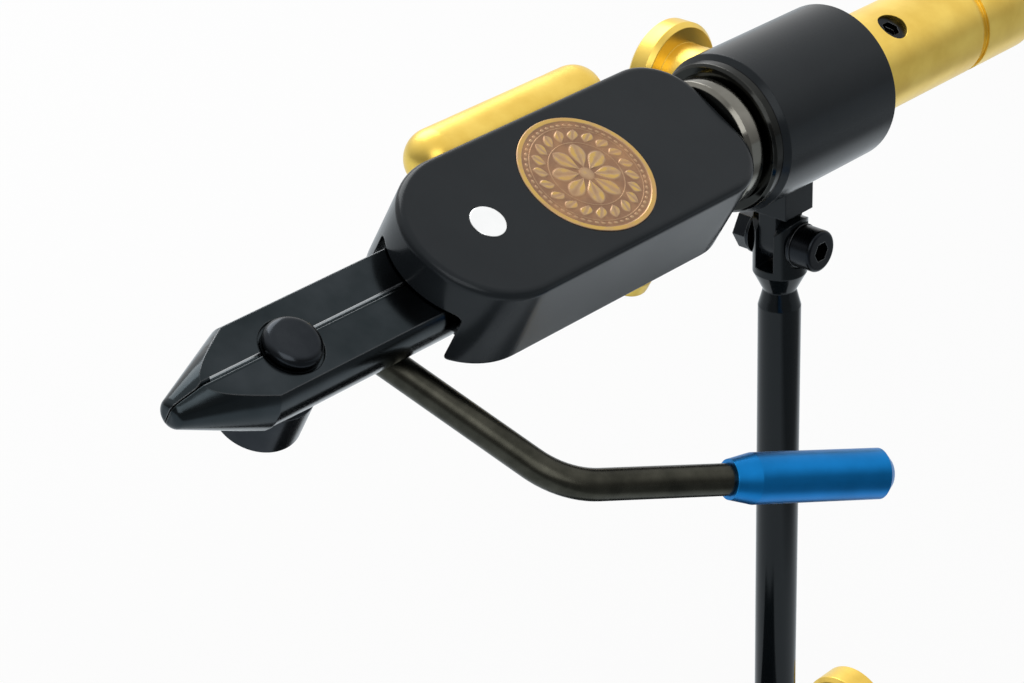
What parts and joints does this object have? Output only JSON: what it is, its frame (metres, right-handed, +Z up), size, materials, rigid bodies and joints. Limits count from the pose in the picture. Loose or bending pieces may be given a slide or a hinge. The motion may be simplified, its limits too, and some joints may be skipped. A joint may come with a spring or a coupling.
{
  "type": "fly tying vise",
  "caption": "Rotary fly tying vise on a pedestal stem, with a lever that opens split conical jaws, a tilting barrel, brass thumbscrews and a rear turning handle.",
  "frame": {"origin": "on the table, on the axis of the post", "axes": "+Z up, +X along the rotary axis from the jaws to the rear handle, -Y the side with the lever"},
  "size_m": [0.254, 0.1112, 0.2186],
  "materials": {
    "black_enamel": "satin black enamel",
    "tool_steel": "blackened hardened steel",
    "gunmetal": "dark blued steel",
    "polished_steel": "polished",
    "plain_steel": "machined",
    "brass": "polished brass",
    "bronze": "antique bronze",
    "blue_anodised": "blue anodised",
    "pad_rubber": "matt"
  },
  "bodies": {
    "base": {"base_pad": "pad_rubber", "base_plate": "black_enamel", "stem_socket": "black_enamel", "socket_screws": "plain_steel", "stem_lock_pad": "brass"},
    "stem_lock": {"stem_lock_screw": "brass"},
    "post": {"stem_post": "black_enamel", "knuckle_bolt": "tool_steel", "knuckle_nut": "tool_steel", "knuckle_washers": "tool_steel"},
    "barrel": {"barrel_housing": "black_enamel", "front_bush": "polished_steel", "rear_bush": "brass", "drag_pad": "brass"},
    "drag": {"drag_screw": "brass"},
    "head": {"head_block": "black_enamel", "medallion": "bronze", "jaw_hinge_pin": "polished_steel", "jaw_spring": "plain_steel", "counterweight_bar": "brass", "counterweight_screws": "plain_steel", "rotary_shaft": "polished_steel", "thrust_collar": "polished_steel", "shaft_set_screw": "plain_steel", "rear_handle": "brass", "handle_set_screw": "tool_steel"},
    "tension": {"tension_screw": "brass"},
    "jaw_near": {"jaw_near": "tool_steel"},
    "jaw_far": {"jaw_far": "tool_steel"},
    "lever": {"cam_bolt": "tool_steel", "cam_knob": "tool_steel", "lever_rod": "gunmetal", "lever_grip": "blue_anodised", "lever_set_screw": "plain_steel"}
  },
  "joints": [
    {"name": "post_height", "type": "slide", "parent": "base", "child": "post", "axis": [0, 0, 1], "range_m": [-0.001, 0.012]},
    {"name": "stem_lock_turn", "type": "hinge", "parent": "base", "child": "stem_lock", "pos_m": [0.02, 0, 0.0314], "axis": [1, 0, 0], "range_deg": [-180, 180]},
    {"name": "head_tilt", "type": "hinge", "parent": "post", "child": "barrel", "pos_m": [0, 0, 0.169], "axis": [0, 1, 0], "range_deg": [-40, 40]},
    {"name": "drag_turn", "type": "hinge", "parent": "barrel", "child": "drag", "pos_m": [-0.0017, 0.03, 0.2], "axis": [0, 1, 0], "range_deg": [-180, 180]},
    {"name": "head_rotation", "type": "hinge", "parent": "barrel", "child": "head", "pos_m": [0, 0, 0.2], "axis": [1, 0, 0], "continuous": true},
    {"name": "lever_squeeze", "type": "hinge", "parent": "head", "child": "lever", "pos_m": [-0.144, 0, 0.2], "axis": [0, -0.5, 0.866], "range_deg": [0, 22], "stiffness_Nm_per_rad": 0.6, "springref_deg": -17.19},
    {"name": "jaw_near_open", "type": "hinge", "parent": "head", "child": "jaw_near", "pos_m": [-0.0965, 0, 0.2], "axis": [0, -0.5, 0.866], "range_deg": [0, 0.6]},
    {"name": "jaw_far_open", "type": "hinge", "parent": "head", "child": "jaw_far", "pos_m": [-0.0965, 0, 0.2], "axis": [0, -0.5, 0.866], "range_deg": [-0.6, 0]},
    {"name": "tension_turn", "type": "hinge", "parent": "head", "child": "tension", "pos_m": [-0.056, -0.00539, 0.18534], "axis": [0, -0.5, 0.866], "range_deg": [-180, 180]}
  ],
  "couplings": [
    {"joint": "jaw_near_open", "follows": "lever_squeeze", "ratio": 0.025},
    {"joint": "jaw_far_open", "follows": "lever_squeeze", "ratio": -0.025}
  ]
}
